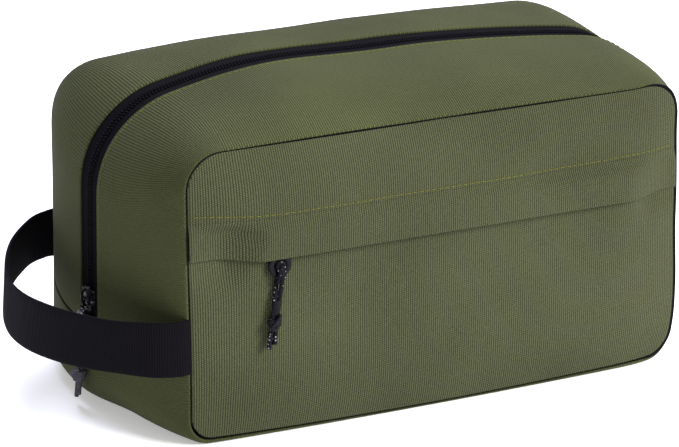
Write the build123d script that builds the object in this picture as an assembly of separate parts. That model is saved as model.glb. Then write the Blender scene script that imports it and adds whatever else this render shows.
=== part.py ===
from build123d import *
import math
import os

# Soft toiletry bag (dopp kit) with a zipped mouth that runs over the top and down both ends,
# a front pocket whose zip hides under a flap, and a webbing carrying loop on the left end.
# Millimetres. X along the bag (the loop is at -X), -Y the pocket side, +Z up, z = 0 the surface it stands on.

# ---------------------------------------------------------------- driving dimensions
seam_length = 240.0         # front and back panels, between their end seams
seam_depth = 136.0          # from the front seam to the back seam
seam_bottom = 2.3           # height of the panels' bottom seams
seam_top = 131.6            # height of the panels' top seams
seam_radius_top = 16.4
seam_radius_bottom = 15.0
end_bulge = 18.5            # how far the ends swell past the seams, at mid depth
top_bulge = 9.5             # how far the top swells above the seams
top_crown = 6.5             # extra rise of the top at mid length
seam_crown = 0.2            # the same at the seams
zip_radius_top = 42.0       # corner radius of the ends at mid depth
zip_radius_bottom = 24.0
bulge_power = 2.7
base_power = 8.0
base_cut = 0.3              # the base is cut flat this far above its lowest line

fabric = 1.2                # outer cloth with its foam backing
lining = 0.5
lining_setback = 2.0        # the lining's folded edge, behind the zip tape's sewn edge
pocket_lining_inset = 6.0
gap = 0.3                   # room between pieces of different bodies
hair = 0.05                 # room between layers of one body

mouth_y = -4.8              # the main zip's centre line
mouth_end_z = 38.0          # seam across the ends, where the main zip stops
foot_top_z = 75.0           # up to here the rear strip hardly moves when the mouth opens
tape_width = 15.0           # one zip tape, from its coil to its sewn edge
tape = 0.6
band_half = 6.4             # half of the zip band that shows between the folded edges
coil_half = 2.9             # half width of the closed chain
coil_gap = 1.6              # room for a slider's post between the two coils
coil_height = 2.4
stop_height = 3.0
stop_setback = 2.0          # from the end seam to the zip's lower end
stop_overlap = 0.5          # how far a stop reaches below the tape's end

pocket_swell = 6.0          # how far the pocket panel swells past its seam
upper_swell = 8.5           # the same for the panel above the pocket, which covers the zip
back_swell = 3.0
pillow_rows = [(0.1, 0.0), (2.8, 0.5), (7.3, 0.83), (13.6, 1.0)]  # inset, share of the swell
pocket_room = 2.0           # how far the pocket's back wall lies behind the seam
wall = 0.8
pocket_zip_z = 90.5
pocket_zip_half = 92.0      # half length of the pocket zip
pocket_chain_depth = 1.7    # chain plane behind the pocket panel's outer face
pocket_window = 95.5        # half length of the gap in the front panel, over the zip
flap_top_z = 102.0          # stitch line that the flap hangs from
flap_bottom_z = 82.0
flap_half = 112.0
flap_standoff = 4.7         # room under the flap for the slider and its eye
flap_layer = 0.55

slider_length = 14.0
slider_width = 9.6
slider_plate = 1.4
bridge_rise = 3.2
bridge_length = 7.0
bridge_width = 2.2
bridge_wall = 0.5
bridge_foot = 1.0
plate_corner = 2.2          # radius of a slider plate's corners
flange_room = 0.35          # from a slider's side walls and flanges to the coils and tapes
flange_setback = 2.5        # the side walls start this far from the plate's ends
post_from_nose = 2.0
post_length = 3.0
bar_radius = 0.6
bar_length = 5.2
arm_inner = 2.0             # half distance between the stirrup's arms, inside
arm_outer = 3.2
arm_overlap = 1.2           # how far an arm runs into the ring
bar_room = 0.2              # between the tab's bar and the bridge over it
ring_outer = 5.5
ring_hole = 3.5
ring_thick = 1.4
ring_drop = 10.5            # from the tab's bar to the ring's centre
cord = 2.0
strand_half = 1.1           # half the distance between the two strands
strand_wander = 0.2         # a strand's small sideways departures from a straight line
cord_room = 0.2             # between the cord and the ring that it loops over
knot_drop = 25.0            # from the ring's centre to the knot
knot_length = 5.6
knot_width = 6.4
knot_thick = 4.4
tail_drop = 38.0            # from the ring's centre to the tails' ends

pocket_slider_x = -82.5
main_slider_z = 51.5

webbing_width = 25.0
webbing = 1.6
loop_reach = 47.7           # how far the carrying loop stands out from the seams
loop_half = 68.4
loop_front_z = 46.3
loop_back_z = 56.2
loop_clear = 10.0           # the loop's free part starts this far from the seams
binding_width = 8.0
binding = 1.4

half_depth = seam_depth / 2
half_length = seam_length / 2
section_depths = [-1.0, -0.9, -0.72, -0.45, 0.0, 0.45, 0.72, 0.9, 1.0]
far = 400.0


# ---------------------------------------------------------------- helpers
def save(node, shape):
    os.makedirs("parts", exist_ok=True)
    shape.label = node
    export_step(shape, f"parts/{node}.step")


def block(x, y, z):
    """A box between two limits along each axis."""
    (x0, x1), (y0, y1), (z0, z1) = x, y, z
    size = (x1 - x0, y1 - y0, z1 - z0)
    centre = ((x0 + x1) / 2, (y0 + y1) / 2, (z0 + z1) / 2)
    return Pos(*centre) * Box(*size)


def swell(y):
    """0 at the front and back seams, 1 at mid depth."""
    return 1 - abs(y / half_depth) ** bulge_power


def base_height(y):
    """Just under the floor for most of the depth, so that a flat face is cut there, and up at the seams."""
    rise = abs(y / half_depth) ** base_power
    return seam_bottom * rise - base_cut * (1 - rise)


def half_length_at(y):
    return half_length + end_bulge * swell(y)


def outline(y, inset=0.0, at=None):
    """The bag's rounded outline in the XZ plane at depth y, shrunk by inset and placed at y = at."""
    place = y if at is None else at
    grow = swell(y)
    right = half_length_at(y) - inset
    low = base_height(y) + inset
    high = seam_top + top_bulge * grow - inset
    crown = seam_crown + top_crown * grow
    r_top = seam_radius_top + (zip_radius_top - seam_radius_top) * grow - inset
    r_low = seam_radius_bottom + (zip_radius_bottom - seam_radius_bottom) * grow - inset
    part = math.sqrt(0.5)

    def point(x, z):
        return (x, place, z)

    def corner(side, z, r, up):
        """Start, middle and end of a corner arc, from the side wall to the top or base."""
        x = side * (right - r)
        return (
            point(side * right, z - up * r),
            point(x + side * r * part, z - up * r * (1 - part)),
            point(x, z),
        )

    right_top = corner(1, high, r_top, 1)
    left_top = corner(-1, high, r_top, 1)
    right_low = corner(1, low, r_low, -1)
    left_low = corner(-1, low, r_low, -1)
    edges = [
        Edge.make_line(left_low[2], right_low[2]),
        Edge.make_three_point_arc(right_low[2], right_low[1], right_low[0]),
        Edge.make_line(right_low[0], right_top[0]),
        Edge.make_three_point_arc(right_top[0], right_top[1], right_top[2]),
        Edge.make_three_point_arc(right_top[2], point(0, high + crown), left_top[2]),
        Edge.make_three_point_arc(left_top[2], left_top[1], left_top[0]),
        Edge.make_line(left_top[0], left_low[0]),
        Edge.make_three_point_arc(left_low[0], left_low[1], left_low[2]),
    ]
    return Wire(edges)


def core(inset, overrun=0.0):
    """The bag's body, shrunk by inset; overrun lengthens it past the front and back seams."""
    wires = []
    for share in section_depths:
        y = share * half_depth
        stretch = overrun if abs(share) == 1.0 else 0.0
        wires.append(outline(y, inset, at=y + math.copysign(stretch, y)))
    return Solid.make_loft(wires, ruled=False)


def skin(outer_inset, thickness):
    """A sleeve round the bag, open at the front and back."""
    sleeve = core(outer_inset) - core(outer_inset + thickness, overrun=1.0)
    above = block((-far, far), (-far, far), (0, far))
    return sleeve & above


def slab(y_from, y_to, inset, at=None):
    """A flat plate with the front seam's outline, between two depths."""
    face = Face(outline(at if at is not None else -half_depth, inset, at=y_from))
    return extrude(face, amount=y_to - y_from, dir=(0, 1, 0))


def ring_slab(y_from, y_to, y_shape, inset, thickness):
    """A flat hoop that follows the bag's outline at depth y_shape."""
    return slab(y_from, y_to, inset, at=y_shape) - slab(y_from - 1, y_to + 1, inset + thickness, at=y_shape)


def dome(side, swell_out, lift=0.0):
    """A pillow shape on the front (side -1) or back (side 1) seam, moved out by lift."""
    start = side * (half_depth + hair)
    wires = []
    for inset, share in pillow_rows:
        y = start + side * (swell_out * share + lift)
        wires.append(outline(side * half_depth, inset, at=y))
    return Solid.make_loft(wires, ruled=True)


def panel(side, swell_out, lift=0.0, thickness=fabric):
    """A swollen cloth panel: one pillow less the same pillow moved inwards."""
    outer = dome(side, swell_out, lift)
    inner = Pos(0, -side * thickness, 0) * outer
    return outer - inner


# ---------------------------------------------------------------- cloth
mouth_front = mouth_y - band_half
mouth_rear = mouth_y + band_half
all_x = (-far, far)
cloth = skin(0.0, fabric)
lining_inset = fabric + tape + 2 * hair
front_lining_y = -half_depth + pocket_room + wall + 2 * hair
back_lining_y = half_depth - lining - 2 * hair
lining_depths = (front_lining_y + lining + hair, back_lining_y - hair)
under = skin(lining_inset, lining) & block(all_x, lining_depths, all_x)
zip_layer = skin(fabric + hair, tape)


def front_strip(sleeve, edge):
    return sleeve & block(all_x, (-far, edge), (mouth_end_z + hair, far))


def rear_strip(sleeve, edge, z_from, z_to=far):
    return sleeve & block(all_x, (edge, far), (z_from, z_to))


def one_side(shape, side):
    limits = (-far, 0) if side < 0 else (0, far)
    return shape & block(limits, (-far, far), (-far, far))


save("base_gusset", cloth & block(all_x, (-far, far), (0, mouth_end_z)))
save("front_gusset", front_strip(cloth, mouth_front))
save("rear_gusset", rear_strip(cloth, mouth_rear, foot_top_z + gap))
feet = rear_strip(cloth, mouth_rear, mouth_end_z + hair, foot_top_z)
save("rear_gusset_foot_left", one_side(feet, -1))
save("rear_gusset_foot_right", one_side(feet, 1))

front_wall_y = -half_depth + pocket_room
save("front_inner_wall", slab(front_wall_y, front_wall_y + wall, fabric + hair))
pocket_shell = panel(-1, pocket_swell)
upper_shell = panel(-1, upper_swell)
window = block((-pocket_window, pocket_window), all_x, (pocket_zip_z - band_half, pocket_zip_z + band_half))
save("front_pocket_panel", (pocket_shell & block(all_x, all_x, (-far, pocket_zip_z))) - window)
save("front_upper_panel", (upper_shell & block(all_x, all_x, (pocket_zip_z, far))) - window)
save("back_panel", panel(1, back_swell))

flap_box = block((-flap_half, flap_half), all_x, (flap_bottom_z, flap_top_z))
facing_lift = flap_standoff + flap_layer
flap_lift = facing_lift + hair + flap_layer
save("pocket_flap_facing", panel(-1, pocket_swell, facing_lift, flap_layer) & flap_box)
save("pocket_flap", panel(-1, pocket_swell, flap_lift, flap_layer) & flap_box)

# ---------------------------------------------------------------- linings and seam bindings
lining_front_edge = mouth_y - tape_width - lining_setback
lining_rear_edge = mouth_y + tape_width + lining_setback
save("base_lining", under & block(all_x, (-far, far), (0, mouth_end_z)))
save("front_gusset_lining", front_strip(under, lining_front_edge))
save("rear_gusset_lining", rear_strip(under, lining_rear_edge, foot_top_z + gap))
lining_feet = rear_strip(under, lining_rear_edge, mouth_end_z + hair, foot_top_z)
save("rear_lining_foot_left", one_side(lining_feet, -1))
save("rear_lining_foot_right", one_side(lining_feet, 1))
inner_inset = lining_inset + lining + gap
pocket_lining_y = front_wall_y - lining - 4 * hair
save("pocket_lining", slab(pocket_lining_y, pocket_lining_y + lining, pocket_lining_inset))
save("front_lining", slab(front_lining_y, front_lining_y + lining, inner_inset))
save("back_lining", slab(back_lining_y, back_lining_y + lining, inner_inset))
binding_y = -lining_depths[0]
binding_inset = inner_inset + gap


def binding_ring(y_from, y_to):
    return ring_slab(y_from, y_to, -half_depth, binding_inset, binding)


save("front_seam_binding", binding_ring(-binding_y, -binding_y + binding_width))
rear_binding = binding_ring(binding_y - binding_width, binding_y)
save("rear_seam_binding", rear_binding & block(all_x, all_x, (foot_top_z + gap, far)))
save("base_seam_binding", rear_binding & block(all_x, all_x, (-far, foot_top_z)))

# ---------------------------------------------------------------- main zip, round the top and ends
tape_inset = fabric + hair
chain_inset = tape_inset + tape / 2


def mouth_hoop(y_from, y_to, inset, thickness, z_from, z_to=far):
    hoop = ring_slab(mouth_y + y_from, mouth_y + y_to, mouth_y, inset, thickness)
    return hoop & block(all_x, all_x, (z_from, z_to))


def mouth_tape(y_from, y_to, z_from, z_to=far):
    return zip_layer & block(all_x, (mouth_y + y_from, mouth_y + y_to), (z_from, z_to))


coil_inner = coil_gap / 2
tape_start = coil_half + hair
coil_inset = chain_inset - coil_height / 2
mouth_low = mouth_end_z + stop_setback
coil_low = mouth_low + stop_height
save("main_zip_tape_front", mouth_tape(-tape_width, -tape_start, mouth_low))
save("main_zip_coil_front", mouth_hoop(-coil_half, -coil_inner, coil_inset, coil_height, coil_low))
save("main_zip_tape_rear", mouth_tape(tape_start, tape_width, foot_top_z + gap))
save("main_zip_coil_rear", mouth_hoop(coil_inner, coil_half, coil_inset, coil_height, foot_top_z + gap))
tape_feet = mouth_tape(tape_start, tape_width, mouth_low, foot_top_z)
coil_feet = mouth_hoop(coil_inner, coil_half, coil_inset, coil_height, coil_low, foot_top_z)
stop_low = mouth_low - stop_overlap
stops = mouth_hoop(-coil_half, coil_half, coil_inset, coil_height, stop_low, coil_low - gap)
for side, name in ((-1, "left"), (1, "right")):
    save(f"main_zip_tape_foot_{name}", one_side(tape_feet, side))
    save(f"main_zip_coil_foot_{name}", one_side(coil_feet, side))
    save(f"main_zip_stop_{name}", one_side(stops, side))

# ---------------------------------------------------------------- pocket zip, under the flap
pocket_face_y = -half_depth - hair - pocket_swell
pocket_chain_y = pocket_face_y + pocket_chain_depth
pocket_x = (-pocket_zip_half, pocket_zip_half)


def pocket_bar(z_from, z_to, thick, x=pocket_x):
    depth = (pocket_chain_y - thick / 2, pocket_chain_y + thick / 2)
    return block(x, depth, (pocket_zip_z + z_from, pocket_zip_z + z_to))


save("pocket_zip_tape_upper", pocket_bar(tape_start, tape_width, tape))
save("pocket_zip_tape_lower", pocket_bar(-tape_width, -tape_start, tape))
save("pocket_zip_coil_upper", pocket_bar(coil_inner, coil_half, coil_height))
save("pocket_zip_coil_lower", pocket_bar(-coil_half, -coil_inner, coil_height))
for side, name in ((-1, "left"), (1, "right")):
    ends = sorted((side * (pocket_zip_half + hair), side * (pocket_zip_half + stop_height)))
    save(f"pocket_zip_stop_{name}", pocket_bar(-coil_half, coil_half, coil_height, ends))


# ---------------------------------------------------------------- sliders and pulls
# Local frame of a slider: +X along the zip, +Y across it, +Z out of the bag, origin in the chain plane.
plate_in = coil_height / 2 + gap
plate_out = plate_in + slider_plate
bar_height = plate_out + bridge_rise - bridge_wall - bar_room - bar_radius


def slider_solid(bridge_turn=0):
    """bridge_turn turns the bridge from along the zip, in degrees."""
    half = slider_length / 2
    wide = slider_width / 2
    rim = coil_half + flange_room
    slot = tape / 2 + flange_room
    post_thick = coil_gap - 2 * gap
    body = None
    for out in (1, -1):
        plate = block((-half, half), (-wide, wide), sorted((out * plate_in, out * plate_out)))
        plate = fillet(plate.edges().filter_by(Axis.Z), plate_corner)
        body = plate if body is None else body + plate
        for side in (1, -1):
            along = (-half + flange_setback, half - flange_setback)
            across = sorted((side * rim, side * wide))
            body += block(along, across, sorted((out * slot, out * plate_in)))
    post_end = half - post_from_nose
    post_x = (post_end - post_length, post_end)
    body += block(post_x, (-post_thick / 2, post_thick / 2), (-plate_in, plate_in))
    reach = bridge_length / 2
    side_to_side = (-bridge_width / 2, bridge_width / 2)
    opening = (plate_out, plate_out + bridge_rise - bridge_wall)
    arch = block((-reach, reach), side_to_side, (plate_out - hair, plate_out + bridge_rise))
    arch -= block((-reach + bridge_foot, reach - bridge_foot), (-bridge_width, bridge_width), opening)
    return body + Rot(0, 0, bridge_turn) * arch


def tab_solid():
    """A wire stirrup and a round eye. Local frame: bar along Y at the origin, -X down, +Z out."""
    shape = Rot(90, 0, 0) * Cylinder(bar_radius, bar_length)
    arm_end = ring_drop - ring_outer + arm_overlap
    for side in (1, -1):
        across = sorted((side * arm_inner, side * arm_outer))
        shape += block((-arm_end, bar_radius), across, (-bar_radius, bar_radius))
    eye = Pos(-ring_drop, 0, 0) * (Cylinder(ring_outer, ring_thick) - Cylinder(ring_hole, ring_thick * 2))
    return shape + eye


def pull_route():
    """The doubled cord, from one tail over the eye's lower rim to the other tail, about the eye's centre.

    X up, Y sideways, Z out of the bag.
    """
    rim = (ring_outer + ring_hole) / 2
    over = ring_thick / 2 + cord_room + cord / 2
    inside = -rim + 1.3 * cord
    below = -rim - cord
    meet = -knot_drop + 6 * cord
    top = -knot_drop + cord
    foot = -knot_drop - 3 * cord
    spread = strand_half + strand_wander
    lean = strand_wander / 2
    return [
        (-tail_drop + cord / 2, -spread - strand_wander, 0.0),
        (foot, -spread, lean),
        (top, -strand_half, 0.0),
        (meet, -strand_half, strand_wander),
        (below, -strand_wander, over),
        (inside, lean, over - lean),
        (inside, -lean, -over + lean),
        (below, strand_wander, -over),
        (meet, strand_half, -strand_wander),
        (top, strand_half, 0.0),
        (foot, spread + lean, -lean),
        (-tail_drop, spread, 0.0),
    ]


def bend_radii(points):
    """0.45 of each corner's shorter run, divided by the tangent of half the turn."""
    radii = []
    for before, here, after in zip(points, points[1:], points[2:]):
        run_in = Vector(*here) - Vector(*before)
        run_out = Vector(*after) - Vector(*here)
        turn = math.radians(run_in.get_angle(run_out))
        radii.append(0.45 * min(run_in.length, run_out.length) / math.tan(turn / 2))
    return radii


def cord_solid(name):
    points = pull_route()
    radii = bend_radii(points)
    path = FilletPolyline(*points, radius=radii)
    start = Plane(origin=points[0], z_dir=path % 0)
    tube = sweep(start * Circle(cord / 2), path=path)
    print(name, "length", round(path.length, 1), "radii", [round(r, 1) for r in radii])
    print(name, "volume / section x length", round(tube.volume / (math.pi * cord**2 / 4 * path.length), 4))
    return tube


def knot_solid():
    """The wraps of the overhand knot, bored through for the two strands."""
    at_knot = Pos(-knot_drop, 0, 0)
    wraps = at_knot * Box(knot_length, knot_width, knot_thick)
    wraps = fillet(wraps.edges(), knot_thick / 3)
    hole = at_knot * Box(2 * knot_length, 2 * strand_half + cord + gap, cord + gap)
    return wraps - hole


def place(origin, along, out):
    """Puts a solid made in a slider's local frame where that frame lies on the bag."""
    plane = Plane(origin=origin, x_dir=along, z_dir=out)
    return plane.location


main_chain_x = -(half_length_at(mouth_y) - chain_inset)
left = (-1, 0, 0)
up = (0, 0, 1)
front = (0, -1, 0)
main_at = (main_chain_x, mouth_y, main_slider_z)
main_bar = (main_chain_x - bar_height, mouth_y, main_slider_z)
main_ring = (main_chain_x - bar_height, mouth_y, main_slider_z - ring_drop)
save("main_zip_slider", place(main_at, up, left) * slider_solid())
save("main_pull_tab", place(main_bar, up, left) * tab_solid())
save("main_pull_cord", place(main_ring, up, left) * cord_solid("main_pull_cord"))
save("main_pull_knot", place(main_ring, up, left) * knot_solid())

pocket_bar_y = pocket_chain_y - bar_height
pocket_at = (pocket_slider_x, pocket_chain_y, pocket_zip_z)
pocket_ring = (pocket_slider_x, pocket_bar_y, pocket_zip_z - ring_drop)
save("pocket_zip_slider", place(pocket_at, left, front) * slider_solid(bridge_turn=90))
save("pocket_pull_tab", place((pocket_slider_x, pocket_bar_y, pocket_zip_z), up, front) * tab_solid())
save("pocket_pull_cord", place(pocket_ring, up, front) * cord_solid("pocket_pull_cord"))
save("pocket_pull_knot", place(pocket_ring, up, front) * knot_solid())

# ---------------------------------------------------------------- carrying loop
loop_tilt = math.degrees(math.atan2(loop_back_z - loop_front_z, 2 * loop_half))
outer_loop = Ellipse(loop_reach + webbing / 2, loop_half + webbing / 2)
inner_loop = Ellipse(loop_reach - webbing / 2, loop_half - webbing / 2)
band = extrude(outer_loop - inner_loop, amount=webbing_width / 2, both=True)
band = band & block((-far, -loop_clear), all_x, all_x)
save("side_handle", Pos(-half_length, 0, (loop_front_z + loop_back_z) / 2) * Rot(loop_tilt, 0, 0) * band)
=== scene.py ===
import math

import bpy
import numpy as np
from mathutils import Matrix, Vector, noise


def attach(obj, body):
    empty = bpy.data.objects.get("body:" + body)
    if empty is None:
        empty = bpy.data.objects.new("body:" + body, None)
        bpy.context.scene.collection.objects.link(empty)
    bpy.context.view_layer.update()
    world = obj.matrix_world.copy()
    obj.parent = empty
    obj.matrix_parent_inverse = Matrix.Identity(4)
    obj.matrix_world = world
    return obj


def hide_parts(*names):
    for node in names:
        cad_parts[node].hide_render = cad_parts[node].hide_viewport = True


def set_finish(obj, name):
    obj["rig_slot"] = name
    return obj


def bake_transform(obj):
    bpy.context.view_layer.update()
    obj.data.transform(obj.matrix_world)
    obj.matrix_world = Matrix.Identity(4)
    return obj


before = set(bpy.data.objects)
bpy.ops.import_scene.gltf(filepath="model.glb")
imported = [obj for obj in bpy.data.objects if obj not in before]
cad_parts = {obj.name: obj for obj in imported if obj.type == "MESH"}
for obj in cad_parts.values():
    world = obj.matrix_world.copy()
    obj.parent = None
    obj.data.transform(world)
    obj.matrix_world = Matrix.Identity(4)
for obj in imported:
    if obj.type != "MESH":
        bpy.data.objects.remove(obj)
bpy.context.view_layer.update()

# Looks of the toiletry bag. The shapes are in millimetres in the row's frame, and become metres where a
# mesh or curve is made.
MM = 0.001
FRONT = "bag_front"

# ---- camera, light and floor
scene = bpy.context.scene
scene.view_settings.view_transform = "Standard"


def make_camera():
    data = bpy.data.cameras.new("camera")
    data.lens = 220.434
    data.sensor_width = 36.0
    camera = bpy.data.objects.new("camera", data)
    scene.collection.objects.link(camera)
    turn, dip, roll = math.radians(28.268), math.radians(18.918), math.radians(0.654)
    look = Vector((math.sin(turn) * math.cos(dip), math.cos(turn) * math.cos(dip), -math.sin(dip)))
    level = Vector((math.cos(turn), -math.sin(turn), 0))
    upright = level.cross(look)
    right = level * math.cos(roll) + upright * math.sin(roll)
    up = right.cross(look)
    place = Matrix((right, up, -look)).transposed().to_4x4()
    place.translation = Vector((-0.8432, -1.5435, 0.6651))
    camera.matrix_world = place
    scene.camera = camera


def area_light(name, at, to, size, power, colour=(1, 1, 1)):
    data = bpy.data.lights.new(name, "AREA")
    data.shape = "DISK"
    data.size = size
    data.energy = power
    data.color = colour
    lamp = bpy.data.objects.new(name, data)
    scene.collection.objects.link(lamp)
    lamp.location = at
    lamp.rotation_euler = (Vector(to) - Vector(at)).to_track_quat("-Z", "Y").to_euler()


make_camera()
area_light("key", (1.85, -2.76, 1.8), (0, 0, 0.05), 1.74, 232)
area_light("top", (0.3, 0.9, 1.9), (0, 0, 0.1), 1.6, 50, (0.94, 0.96, 1.24))
world = bpy.data.worlds.new("studio")
scene.world = world
world.use_nodes = True
world.node_tree.nodes["Background"].inputs[0].default_value = (1, 1, 1, 1)
world.node_tree.nodes["Background"].inputs[1].default_value = 0.5


# ---- materials
def srgb(r, g, b):
    def linear(c):
        c /= 255
        return c / 12.92 if c <= 0.04045 else ((c + 0.055) / 1.055) ** 2.4

    return (linear(r), linear(g), linear(b), 1.0)


class Nodes:
    """Short names for the shader nodes that every material here is made of."""

    def __init__(self, name):
        self.material = bpy.data.materials.new(name)
        self.material.use_nodes = True
        self.tree = self.material.node_tree
        self.shader = self.tree.nodes["Principled BSDF"]

    def add(self, kind, **settings):
        node = self.tree.nodes.new(kind)
        for key, value in settings.items():
            setattr(node, key, value)
        return node

    def put(self, socket, value):
        if isinstance(value, bpy.types.NodeSocket):
            self.tree.links.new(value, socket)
        else:
            socket.default_value = value

    def math(self, operation, a, b=0.0):
        node = self.add("ShaderNodeMath", operation=operation)
        self.put(node.inputs[0], a)
        self.put(node.inputs[1], b)
        return node.outputs[0]

    def place(self):
        return self.add("ShaderNodeTexCoord").outputs["Object"]

    def split(self, vector):
        node = self.add("ShaderNodeSeparateXYZ")
        self.put(node.inputs[0], vector)
        return node.outputs

    def texture(self, kind, output, **numbers):
        node = self.add(kind)
        self.put(node.inputs["Vector"], self.place())
        for socket, number in numbers.items():
            node.inputs[socket].default_value = number
        return node.outputs[output]

    def noise(self, scale, detail=2.0, rough=0.5):
        return self.texture("ShaderNodeTexNoise", "Fac", Scale=scale, Detail=detail, Roughness=rough)

    def spots(self, scale):
        return self.texture("ShaderNodeTexVoronoi", "Distance", Scale=scale)

    def wave(self, value):
        return self.math("ABSOLUTE", self.math("SINE", self.math("MULTIPLY", value, math.pi)))

    def span(self, value, low, high, to_low=0.0, to_high=1.0):
        node = self.add("ShaderNodeMapRange")
        for socket, number in zip(node.inputs[1:5], (low, high, to_low, to_high)):
            socket.default_value = number
        self.put(node.inputs[0], value)
        return node.outputs[0]

    def mix(self, factor, a, b):
        node = self.add("ShaderNodeMix", data_type="RGBA")
        self.put(node.inputs[0], factor)
        self.put(node.inputs[6], a)
        self.put(node.inputs[7], b)
        return node.outputs[2]

    def finish(self, colour, rough, height, depth, **constants):
        """depth is the bump's height in millimetres."""
        self.put(self.shader.inputs["Base Color"], colour)
        self.put(self.shader.inputs["Roughness"], rough)
        bump = self.add("ShaderNodeBump")
        bump.inputs["Strength"].default_value = 1.0
        bump.inputs["Distance"].default_value = depth * MM
        self.put(bump.inputs["Height"], height)
        self.put(self.shader.inputs["Normal"], bump.outputs[0])
        for socket, value in constants.items():
            self.shader.inputs[socket.replace("_", " ")].default_value = value
        return self.material


def weave(n, pitch_u, pitch_v, cross):
    """Round ribs along v, with the cross yarns showing in them, half a step apart from rib to rib."""
    u, v, _ = n.split(n.add("ShaderNodeTexCoord").outputs["UV"])
    across = n.math("DIVIDE", u, pitch_u)
    rib = n.wave(across)
    step = n.math("MULTIPLY", n.math("MODULO", n.math("FLOOR", across), 2.0), 0.5)
    yarn = n.wave(n.math("ADD", n.math("DIVIDE", v, pitch_v), step))
    shade = n.math("ADD", n.math("MULTIPLY", yarn, cross), 1 - cross)
    return n.math("MULTIPLY", rib, shade)


def cloth_material(name, dark, light, pitch, cross, rough, depth, gloss=0.03, painted_light_heights=None):
    """A woven cloth with a little uneven wear. The optional pair of heights, in metres, paints light and
    shade into the weave: below the first its colour contrast is painted weak, as painted shade on the ends,
    and it grows to full strength at the second, as painted raking light over the top."""
    middle, patch = 0.4, 0.1
    n = Nodes(name)
    woven = weave(n, *pitch, cross)
    # Painted light and shade: the weave's colour contrast (and its bump) is weakened low down as painted
    # shade, and full at the top as painted raking light.
    if painted_light_heights:
        height = n.split(n.place())[2]
        strength = n.span(height, *painted_light_heights, 0.35, 1.0)
        woven = n.math("MULTIPLY", n.math("SUBTRACT", woven, middle), strength)
        woven = n.math("ADD", woven, middle)
    yarns = n.noise(900, 1.0)
    worn = n.noise(14, 3.0)
    tone = n.math("ADD", n.math("MULTIPLY", woven, 0.8), n.math("MULTIPLY", yarns, 0.3))
    tone = n.math("ADD", tone, n.span(worn, 0.3, 0.7, -patch, patch))
    colour = n.mix(n.span(tone, 0.15, 1.05), dark, light)
    roughness = n.span(worn, 0.3, 0.7, rough - 0.05, rough + 0.05)
    return n.finish(colour, roughness, n.math("ADD", woven, n.math("MULTIPLY", yarns, 0.25)), depth,
                    Sheen_Weight=0.02, Specular_IOR_Level=gloss)


def enamel_material(name, worn):
    n = Nodes(name)
    wear = n.span(n.noise(520, 4.0, 0.6), worn, worn + 0.08)
    colour = n.mix(wear, srgb(9, 9, 12), srgb(120, 120, 128))
    rough = n.span(n.noise(900, 2.0), 0.3, 0.7, 0.28, 0.45)
    n.put(n.shader.inputs["Metallic"], n.span(wear, 0.0, 1.0, 0.2, 1.0))
    return n.finish(colour, rough, n.noise(1500, 3.0), 0.02, Specular_IOR_Level=0.14)


def cord_material(name, flecks, dark=srgb(6, 5, 9), light=srgb(20, 18, 25)):
    n = Nodes(name)
    braid = n.spots(1500)
    fleck = n.span(n.spots(620), 0.16, 0.24, flecks, 0.0)
    base = n.mix(braid, light, dark)
    colour = n.mix(fleck, base, srgb(150, 148, 156))
    return n.finish(colour, n.span(braid, 0, 1, 0.6, 0.85), braid, 0.12, Specular_IOR_Level=0.1)


def plastic_material(name, colour, rough, gloss):
    n = Nodes(name)
    fine = n.noise(700, 3.0)
    dark, light = (srgb(*(int(c * share) for c in colour)) for share in (0.7, 1.4))
    tint = n.mix(fine, dark, light)
    roughness = n.span(fine, 0.3, 0.7, rough - 0.08, rough + 0.08)
    return n.finish(tint, roughness, fine, 0.03, Specular_IOR_Level=gloss)


def floor_material():
    n = Nodes("floor_paper")
    grain = n.noise(60, 4.0)
    colour = n.mix(grain, (0.90, 0.90, 0.90, 1), (0.94, 0.94, 0.94, 1))
    return n.finish(colour, n.span(grain, 0, 1, 0.85, 0.95), grain, 0.05,
                    Emission_Color=(1, 1, 1, 1), Emission_Strength=0.35)


OXFORD = ((1.06, 0.98), 0.6, 0.86)
OLIVE = cloth_material("olive_oxford", srgb(35, 38, 20), srgb(82, 85, 60), *OXFORD, 0.3, gloss=0.1)
# The strips' copy of the olive cloth, with painted shade: its weave's colour contrast is painted weaker below
# the top, where the ends stand in shade.
OLIVE_SIDE_PAINTED_SHADE = cloth_material("olive_oxford_side_painted_shade", srgb(34, 37, 16), srgb(83, 87, 56), *OXFORD, 0.24,
                            gloss=0.07, painted_light_heights=(0.105, 0.138))
LINING = cloth_material("grey_lining", srgb(60, 60, 64), srgb(96, 96, 100), (0.4, 0.4), 0.5, 0.6, 0.04)
# Black grosgrain for the seam bindings. Where their edges lie in the seam grooves, its black is painted shade
# for the grooves' dark lines.
BINDING = cloth_material("black_grosgrain_groove_shade", srgb(4, 4, 5), srgb(16, 16, 18), (0.7, 2.2), 0.2, 0.8, 0.1)
TAPE = cloth_material("black_zip_tape", srgb(3, 2, 5), srgb(11, 9, 14), (0.55, 0.9), 0.4, 0.8, 0.08,
                      gloss=0.01)
WEBBING = cloth_material("black_webbing", srgb(4, 3, 5), srgb(16, 14, 19), (1.05, 0.7), 0.35, 0.72, 0.08)
THREAD = cloth_material("olive_thread", srgb(66, 68, 22), srgb(112, 112, 48), (0.4, 0.4), 0.3, 0.7, 0.05)
COIL = plastic_material("black_nylon", (7, 5, 10), 0.6, 0.03)
SLEEVE = plastic_material("black_sleeve", (14, 13, 17), 0.5, 0.08)
ENAMEL = enamel_material("black_enamel", 0.66)
WORN_ENAMEL = enamel_material("worn_black_enamel", 0.54)
CORD = cord_material("flecked_cord", 0.85)
KNOT = cord_material("plain_cord", 0.12, srgb(12, 11, 15), srgb(30, 28, 34))
GREY_CORD = cord_material("worn_cord", 0.3, srgb(46, 45, 50), srgb(84, 83, 90))


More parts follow.
